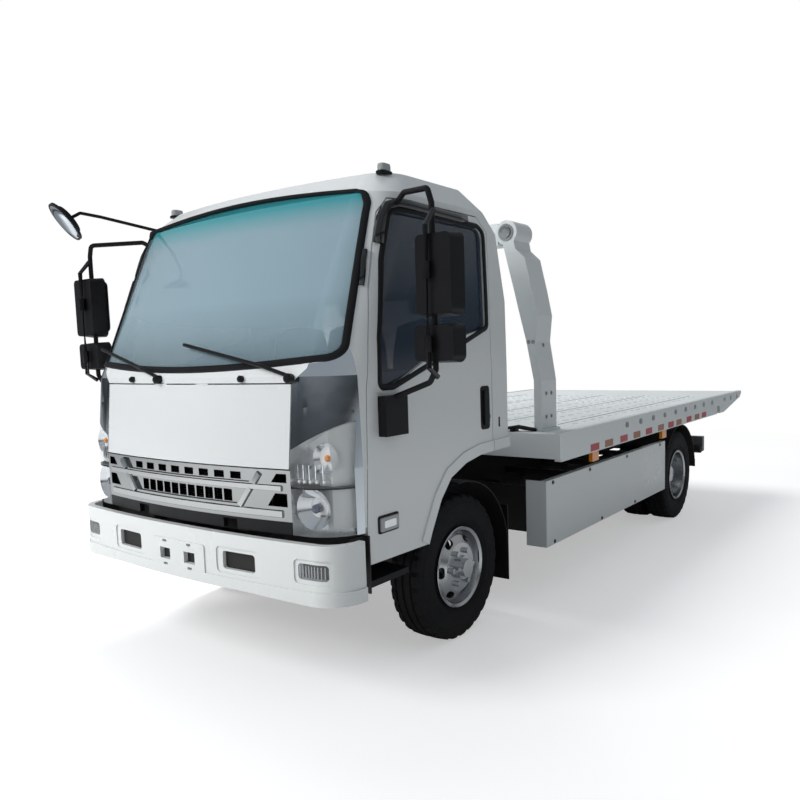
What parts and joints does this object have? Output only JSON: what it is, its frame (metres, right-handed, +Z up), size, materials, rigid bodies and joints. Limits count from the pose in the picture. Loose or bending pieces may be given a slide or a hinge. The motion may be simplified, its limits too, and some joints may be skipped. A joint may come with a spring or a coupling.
{
  "type": "flatbed tow truck",
  "caption": "Cab-over tow truck with tilting cab, hinged doors, steered front wheels, twin rear wheels and a sliding, tilting flatbed with winch.",
  "frame": {"origin": "on the ground below the middle of the overall length and width", "axes": "+X forward, +Y to the left of the driver, +Z up"},
  "size_m": [5.995, 2.67, 2.432],
  "materials": {
    "cab_paint": "smooth white gloss paint",
    "window_glass": "clear",
    "black_plastic": "fine grain",
    "grille_chrome": "bright",
    "lamp_glass": "clear lens",
    "bumper_plastic": "smooth",
    "seat_cloth": "woven",
    "cab_grey": "satin",
    "chassis_black": "satin",
    "drive_metal": "cast",
    "guard_black": "plain",
    "guard_steel": "satin",
    "tail_lamp": "lens",
    "tyre_rubber": "worn",
    "wheel_steel": "polished",
    "deck_paint": "gloss",
    "gear_steel": "plain"
  },
  "bodies": {
    "chassis": {"frame_rails": "chassis_black", "crossmembers": "chassis_black", "drive_line": "drive_metal", "front_axle": "chassis_black", "rear_axle": "chassis_black", "front_bumper": "bumper_plastic", "fog_lamps": "lamp_glass", "side_skirts": "deck_paint", "side_boxes": "chassis_black", "silencer": "chassis_black", "front_mudguards": "guard_black", "rear_guards": "guard_steel", "tail_lamps": "tail_lamp", "cab_mounts": "chassis_black"},
    "cab": {"cab_shell": "cab_paint", "cab_glass": "window_glass", "cab_floor": "cab_grey", "grille": "grille_chrome", "valance": "black_plastic", "headlamps": "lamp_glass", "corner_panels": "cab_paint", "seats": "seat_cloth", "dashboard": "black_plastic", "steering_wheel": "black_plastic", "wipers": "black_plastic"},
    "door_left": {"door_left": "cab_paint", "door_glass_left": "window_glass", "mirror_left": "black_plastic"},
    "door_right": {"door_right": "cab_paint", "door_glass_right": "window_glass", "mirror_right": "black_plastic"},
    "front_lid": {"front_lid": "cab_paint"},
    "knuckle_left": {"knuckle_left": "chassis_black"},
    "knuckle_right": {"knuckle_right": "chassis_black"},
    "tie_rod": {"tie_rod": "chassis_black"},
    "wheel_front_left": {"tyre_front_left": "tyre_rubber", "rim_front_left": "wheel_steel"},
    "wheel_front_right": {"tyre_front_right": "tyre_rubber", "rim_front_right": "wheel_steel"},
    "wheel_rear_left": {"tyres_rear_left": "tyre_rubber", "rims_rear_left": "wheel_steel"},
    "wheel_rear_right": {"tyres_rear_right": "tyre_rubber", "rims_rear_right": "wheel_steel"},
    "bed": {"subframe_rails": "deck_paint", "subframe_ties": "deck_paint"},
    "deck": {"deck_floor": "deck_paint", "deck_rails": "deck_paint", "posts": "deck_paint", "post_beam": "deck_paint", "winch_frame": "gear_steel", "slide_rod": "gear_steel"},
    "winch_drum": {"winch_drum": "gear_steel"},
    "tilt_barrels": {"tilt_barrels": "gear_steel"},
    "tilt_rods": {"tilt_rods": "gear_steel"},
    "lift_arm": {"lift_arm": "gear_steel"},
    "lift_crossbar": {"lift_crossbar": "gear_steel"}
  },
  "joints": [
    {"name": "cab_tilt", "type": "hinge", "parent": "chassis", "child": "cab", "pos_m": [2.855, 0, 0.8], "axis": [0, 1, 0], "range_deg": [0, 45]},
    {"name": "door_left_hinge", "type": "hinge", "parent": "cab", "child": "door_left", "pos_m": [2.68, 0.9665, 1.4], "axis": [0, 0, -1], "range_deg": [0, 65]},
    {"name": "door_right_hinge", "type": "hinge", "parent": "cab", "child": "door_right", "pos_m": [2.68, -0.9665, 1.4], "axis": [0, 0, 1], "range_deg": [0, 65]},
    {"name": "lid_hinge", "type": "hinge", "parent": "cab", "child": "front_lid", "pos_m": [2.911, 0, 1.4096], "axis": [0, -1, 0], "range_deg": [0, 70]},
    {"name": "steer_left", "type": "hinge", "parent": "chassis", "child": "knuckle_left", "pos_m": [1.905, 0.7, 0.3875], "axis": [0, 0, 1], "range_deg": [-35, 35]},
    {"name": "steer_right", "type": "hinge", "parent": "chassis", "child": "knuckle_right", "pos_m": [1.905, -0.7, 0.3875], "axis": [0, 0, 1], "range_deg": [-35, 35]},
    {"name": "tie_rod_slide", "type": "slide", "parent": "chassis", "child": "tie_rod", "axis": [0, 1, 0], "range_m": [-0.1, 0.1]},
    {"name": "wheel_front_left_spin", "type": "hinge", "parent": "knuckle_left", "child": "wheel_front_left", "pos_m": [1.905, 0.84, 0.3875], "axis": [0, 1, 0], "continuous": true},
    {"name": "wheel_front_right_spin", "type": "hinge", "parent": "knuckle_right", "child": "wheel_front_right", "pos_m": [1.905, -0.84, 0.3875], "axis": [0, 1, 0], "continuous": true},
    {"name": "wheel_rear_left_spin", "type": "hinge", "parent": "chassis", "child": "wheel_rear_left", "pos_m": [-1.455, 0.825, 0.3875], "axis": [0, 1, 0], "continuous": true},
    {"name": "wheel_rear_right_spin", "type": "hinge", "parent": "chassis", "child": "wheel_rear_right", "pos_m": [-1.455, -0.825, 0.3875], "axis": [0, 1, 0], "continuous": true},
    {"name": "bed_tilt", "type": "hinge", "parent": "chassis", "child": "bed", "pos_m": [-2.445, 0, 0.8], "axis": [0, -1, 0], "range_deg": [0, 16]},
    {"name": "deck_slide", "type": "slide", "parent": "bed", "child": "deck", "axis": [-1, 0, 0], "range_m": [0, 2.6]},
    {"name": "winch_spin", "type": "hinge", "parent": "deck", "child": "winch_drum", "pos_m": [0.985, 0, 1.146], "axis": [0, 1, 0], "continuous": true},
    {"name": "tilt_cylinder_swing", "type": "hinge", "parent": "chassis", "child": "tilt_barrels", "pos_m": [-0.25, 0, 0.6], "axis": [0, 1, 0], "range_deg": [0, 8]},
    {"name": "tilt_rod_slide", "type": "slide", "parent": "tilt_barrels", "child": "tilt_rods", "axis": [-0.9926, 0, 0.1217], "range_m": [0, 0.06]},
    {"name": "lift_arm_hinge", "type": "hinge", "parent": "chassis", "child": "lift_arm", "pos_m": [-2.33, 0, 0.515], "axis": [0, -1, 0], "range_deg": [0, 20]},
    {"name": "lift_crossbar_slide", "type": "slide", "parent": "lift_arm", "child": "lift_crossbar", "axis": [-1, 0, 0], "range_m": [0, 0.35]}
  ],
  "couplings": [
    {"joint": "steer_right", "follows": "steer_left", "ratio": 1},
    {"joint": "tie_rod_slide", "follows": "steer_left", "m_per_rad": -0.141},
    {"joint": "tilt_cylinder_swing", "follows": "bed_tilt", "ratio": 0.3986},
    {"joint": "tilt_rod_slide", "follows": "bed_tilt", "m_per_rad": 0.1751}
  ]
}
